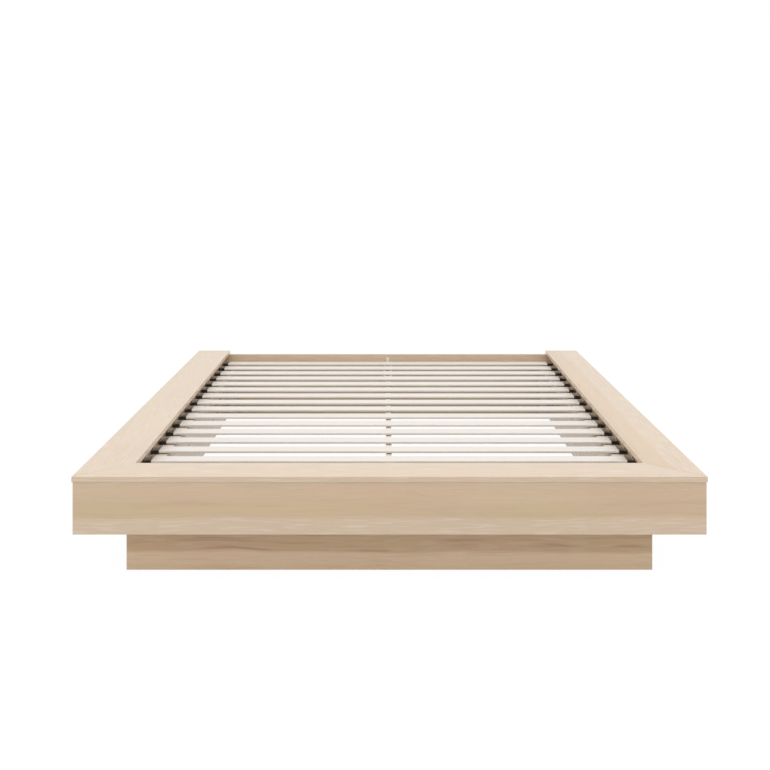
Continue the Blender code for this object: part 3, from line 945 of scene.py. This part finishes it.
class PLATFORM_BED_OT_slats(bpy.types.Operator):
    """Builds the sprung slats, birch layers with rounded edges"""

    bl_idname = "platform_bed.slats"
    bl_label = "Slats"

    def execute(self, context):
        slats = context.scene.platform_bed_slats
        holders = context.scene.platform_bed_holders
        finishes = sanded_birch(slats), layered_birch_with_painted_light(slats)
        closed_end = holder_ends(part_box("slat_holders_right_1"), holders)[1]
        slat_end = closed_end - holders.wall - SLAT_PLAY
        for index, node in enumerate(SLAT_NAMES):
            low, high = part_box(node)
            middle, half_width = (low.y + high.y) / 2, (high.y - low.y) / 2
            radius = min(slats.edge, SLAT_ROUND_SHARE * (high.z - low.z))
            rings = [
                rounded_ring(x, half_width, low.z, high.z, (radius, radius), middle)
                for x in (-slat_end, slat_end)
            ]
            mesh = finish_mesh(skinned(rings), f"birch_{node}")
            for face in mesh.polygons:
                face.material_index = int(abs(face.normal.z) < SHARP_COSINE)
            lay_grain(mesh, X_AXIS, low, (SLAT_SHIFT * index, 0))
            for finish in finishes:
                mesh.materials.append(finish)
            place_piece(f"birch_{node}", mesh, "birch_slat", node)
        return {"FINISHED"}


HOLDER_TOP_STEPS = 8
HOLDER_END_STEPS = 5
MOUTH_CHAMFER = 0.0008
# Radii of the pocket's lower and upper corners, of the body's lower ones, and the smallest of
# its upper ones, at the closed end
POCKET_RADII = (0.0005, 0.0026)
BODY_LOW_RADIUS = 0.0006
SMALLEST_CORNER = 0.001


def holder_mesh(name, side, strip, slat, width, holders):
    """One holder: the pocket for its slat, a chamfered mouth with a collar, and a body with a
    crowned top that rounds over to its closed end."""
    (strip_low, strip_high), (slat_low, slat_high) = strip, slat
    mouth = holder_ends(strip, holders)[0]
    middle = (slat_low.y + slat_high.y) / 2
    pocket_end = holders.span - holders.wall
    half_pocket = (slat_high.y - slat_low.y) / 2 + SLAT_PLAY
    pocket_low, pocket_high = slat_low.z - SLAT_PLAY, slat_high.z + SLAT_PLAY

    def pocket_ring(inward, grown):
        return rounded_ring(
            side * (mouth + inward),
            half_pocket + grown,
            pocket_low - grown,
            pocket_high + grown,
            POCKET_RADII,
            middle,
            top_steps=HOLDER_TOP_STEPS,
        )

    def body_ring(inward, inset):
        return rounded_ring(
            side * (mouth + inward),
            width / 2 - inset,
            strip_low.z + min(inset, holders.step),
            strip_high.z - inset,
            (BODY_LOW_RADIUS, max(holders.corner - inset, SMALLEST_CORNER)),
            middle,
            holders.crown,
            HOLDER_TOP_STEPS,
        )

    rings = [
        pocket_ring(pocket_end, 0),
        pocket_ring(MOUTH_CHAMFER, 0),
        pocket_ring(0, MOUTH_CHAMFER / 2),
        body_ring(0, MOUTH_CHAMFER / 2),
        body_ring(MOUTH_CHAMFER / 2, 0),
        body_ring(holders.collar, 0),
        body_ring(holders.collar + holders.step, holders.step),
    ]
    for step in range(HOLDER_END_STEPS + 1):
        turn = math.pi / 2 * step / HOLDER_END_STEPS
        inward = holders.span - holders.end + holders.end * math.sin(turn)
        rings.append(body_ring(inward, holders.step + holders.end * (1 - math.cos(turn))))
    return finish_mesh(skinned(rings), name, smooth=True)


class PLATFORM_BED_OT_holders(bpy.types.Operator):
    """Builds the slat holders, one on each end of each slat"""

    bl_idname = "platform_bed.holders"
    bl_label = "Slat holders"

    def execute(self, context):
        holders = context.scene.platform_bed_holders
        plastic = moulded_plastic(holders)
        for word, side in SIDES.items():
            for start in range(0, len(SLAT_NAMES), HOLDERS_IN_STRIP):
                names = SLAT_NAMES[start : start + HOLDERS_IN_STRIP]
                node = f"slat_holders_{word}_{start // HOLDERS_IN_STRIP + 1}"
                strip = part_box(node)
                slats = [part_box(name) for name in names]
                width = (strip[1].y - strip[0].y) - (slats[-1][0].y - slats[0][0].y)
                for slat, slat_name in zip(slats, names):
                    name = f"holder_{word}_{slat_name.removeprefix(SLAT)}"
                    mesh = holder_mesh(name, side, strip, slat, width, holders)
                    mesh.materials.append(plastic)
                    place_piece(name, mesh, "black_plastic", node)
        return {"FINISHED"}


HEAD_SIDES = 48
# How wide a recess is at its floor, as a share of its mouth
RECESS_FLOORS = {"hex": 0.9, "cross": 0.45}
# A head's dome: its height as a share of the head's, the radii of its flat and its shoulder as
# shares of the head's, and the shoulder's depth as a share of the dome's
DOME_SHARE = 0.35
DOME_FLAT, DOME_SHOULDER = 0.72, 0.92
SHOULDER_DEPTH = 0.4
# A shank's tip, as a share of its radius
TIP_SHARE = 0.4


def fastener_mesh(node, kind, depth):
    """A screw or bolt in its node's place, with a recess of this depth for its key."""
    axis, (head_radius, head_height), (shank_radius, shank_length), key = FASTENERS[kind]
    key_shape, key_radius = key
    way = WAYS[node.removeprefix(f"{kind}_").split("_")[0]]
    low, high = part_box(node)
    back = low[axis] if way > 0 else high[axis]
    dome = DOME_SHARE * head_height
    profile = [
        (RECESS_FLOORS[key_shape] * key_radius, depth, key_shape),
        (key_radius, 0, key_shape),
        (DOME_FLAT * head_radius, 0, "round"),
        (DOME_SHOULDER * head_radius, SHOULDER_DEPTH * dome, "round"),
        (head_radius, dome, "round"),
        (head_radius, head_height, "round"),
        (shank_radius, head_height, "round"),
        (shank_radius, head_height + shank_length - shank_radius, "round"),
        (TIP_SHARE * shank_radius, head_height + shank_length, "round"),
    ]
    middle = (low + high) / 2
    rings = [
        round_ring(middle, axis, back + way * inward, radius, HEAD_SIDES, outline)
        for radius, inward, outline in profile
    ]
    return finish_mesh(skinned(rings), f"zinc_{node}", smooth=True)


class PLATFORM_BED_OT_fittings(bpy.types.Operator):
    """Builds the centre rail's brackets, their screws and the beams' bolts"""

    bl_idname = "platform_bed.fittings"
    bl_label = "Fittings"

    def execute(self, context):
        fittings = context.scene.platform_bed_fittings
        zinc = zinc_plate(fittings)
        meshes = {
            node: eased_mesh(f"zinc_{node}", node, fittings.arris)
            for node in nodes_named("centre_bracket")
        }
        for kind in FASTENERS:
            for node in nodes_named(kind):
                meshes[node] = fastener_mesh(node, kind, fittings.recess)
        for node, mesh in meshes.items():
            mesh.materials.append(zinc)
            place_piece(f"zinc_{node}", mesh, "zinc_steel", node)
        return {"FINISHED"}


# The floor lies this far under the bed
FLOOR_DROP = 0.0002
FLOOR_CORNERS = ((-1, -1), (1, -1), (1, 1), (-1, 1))
FLOOR_PAINT = 0xE6E6E6
FLOOR_GLOW = 1.035
LAMP_TARGET = Vector((0, 0, 0.3))
# Each lamp's place, and its width and length
LAMPS = {
    "overhead": ((0, -0.5, 4.6), (3.5, 6.0)),
    "front": ((-0.8, -5.4, 2.4), (3.5, 3.5)),
}
# The width of the camera's film, in millimetres
SENSOR_WIDTH = 36


def white_to_camera(tree):
    """A share that is 1 where the camera, a mirror or glass looks, and 0 for the light itself."""
    rays = add_node(tree, "LightPath").outputs
    seen = computed(tree, "ADD", rays["Is Camera Ray"], rays["Is Glossy Ray"])
    return computed(tree, "ADD", seen, rays["Is Transmission Ray"], use_clamp=True)


class PLATFORM_BED_OT_stage(bpy.types.Operator):
    """Builds the white floor, the soft light and the camera"""

    bl_idname = "platform_bed.stage"
    bl_label = "Stage"

    def execute(self, context):
        stage = context.scene.platform_bed_stage
        self.build_floor(stage)
        self.light_world(context, stage)
        self.place_lamps(stage)
        self.place_camera(context, stage)
        context.scene.view_settings.view_transform = "Standard"
        return {"FINISHED"}

    def build_floor(self, stage):
        """A pale floor that the camera sees as white, with a little of the bed's shadow."""
        half = stage.floor / 2
        mesh = bpy.data.meshes.new("studio_floor")
        corners = [(x * half, y * half, -FLOOR_DROP) for x, y in FLOOR_CORNERS]
        mesh.from_pydata(corners, [], [(0, 1, 2, 3)])
        material, tree = new_finish("studio_floor_painted")
        paint = add_node(tree, "BsdfDiffuse", {"Color": (*linear(FLOOR_PAINT), 1)})
        glow = add_node(tree, "Emission", {"Strength": FLOOR_GLOW})
        weight = computed(tree, "MULTIPLY", white_to_camera(tree), 1 - stage.shadow)
        shaders = {0: weight, 1: paint.outputs["BSDF"], 2: glow.outputs["Emission"]}
        mixed = add_node(tree, "MixShader", shaders)
        add_node(tree, "OutputMaterial", {"Surface": mixed.outputs["Shader"]})
        mesh.materials.append(material)
        floor = new_object("studio_floor", mesh)

    def light_world(self, context, stage):
        """Soft light from all round, under a white background."""
        world = bpy.data.worlds.get("studio") or bpy.data.worlds.new("studio")
        context.scene.world = world
        world.use_nodes = True
        tree = world.node_tree
        tree.nodes.clear()
        limits = {"Value": white_to_camera(tree), "To Min": stage.sky, "To Max": 1.0}
        strength = add_node(tree, "MapRange", limits).outputs["Result"]
        sky = add_node(tree, "Background", {"Color": (1, 1, 1, 1), "Strength": strength})
        add_node(tree, "OutputWorld", {"Surface": sky.outputs["Background"]})

    def place_lamps(self, stage):
        """Two large soft lamps, one overhead and one in front."""
        for word, (place, size) in LAMPS.items():
            data = bpy.data.lights.new(f"{word}_lamp", "AREA")
            data.shape = "RECTANGLE"
            data.size, data.size_y = size
            data.energy = getattr(stage, word)
            lamp = new_object(f"{word}_lamp", data)
            lamp.location = place
            facing = LAMP_TARGET - lamp.location
            lamp.rotation_euler = facing.to_track_quat("-Z", "Y").to_euler()

    def place_camera(self, context, stage):
        """A level camera whose lens is shifted down, so that upright edges stay upright."""
        data = bpy.data.cameras.new("camera")
        data.sensor_width = SENSOR_WIDTH
        data.lens = stage.lens
        data.shift_y = stage.rise
        camera = new_object("camera", data)
        camera.location = stage.station
        camera.rotation_euler = (math.pi / 2, 0, 0)
        context.scene.camera = camera


SETTINGS = {
    "platform_bed_boards": BoardSettings,
    "platform_bed_pine": PineSettings,
    "platform_bed_slats": SlatSettings,
    "platform_bed_holders": HolderSettings,
    "platform_bed_fittings": FittingSettings,
    "platform_bed_stage": StageSettings,
}
# Each operator, in building order, with the settings that the panel shows above its button
STEPS = (
    (PLATFORM_BED_OT_surround, "platform_bed_boards"),
    (PLATFORM_BED_OT_boards, None),
    (PLATFORM_BED_OT_supports, "platform_bed_pine"),
    (PLATFORM_BED_OT_slats, "platform_bed_slats"),
    (PLATFORM_BED_OT_holders, "platform_bed_holders"),
    (PLATFORM_BED_OT_fittings, "platform_bed_fittings"),
    (PLATFORM_BED_OT_stage, "platform_bed_stage"),
)


class PLATFORM_BED_PT_panel(bpy.types.Panel):
    """Lists the bed's settings and the buttons that build its pieces"""

    bl_idname = "PLATFORM_BED_PT_panel"
    bl_label = "Platform Bed"
    bl_space_type = "VIEW_3D"
    bl_region_type = "UI"
    bl_category = "Platform Bed"

    def draw(self, context):
        for operator, group in STEPS:
            box = self.layout.box()
            if group:
                settings = getattr(context.scene, group)
                for field in settings.__annotations__:
                    box.prop(settings, field)
            box.operator(operator.bl_idname)


CLASSES = (*SETTINGS.values(), *(operator for operator, _ in STEPS), PLATFORM_BED_PT_panel)


def register():
    for kind in CLASSES:
        bpy.utils.register_class(kind)
    for name, kind in SETTINGS.items():
        setattr(bpy.types.Scene, name, bpy.props.PointerProperty(type=kind))


def unregister():
    for name in SETTINGS:
        delattr(bpy.types.Scene, name)
    for kind in reversed(CLASSES):
        bpy.utils.unregister_class(kind)


def main():
    """Registers the add-on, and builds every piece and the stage."""
    register()
    for operator, _ in STEPS:
        group, call = operator.bl_idname.split(".")
        getattr(getattr(bpy.ops, group), call)()
    bpy.context.view_layer.update()


if __name__ == "__main__":
    main()
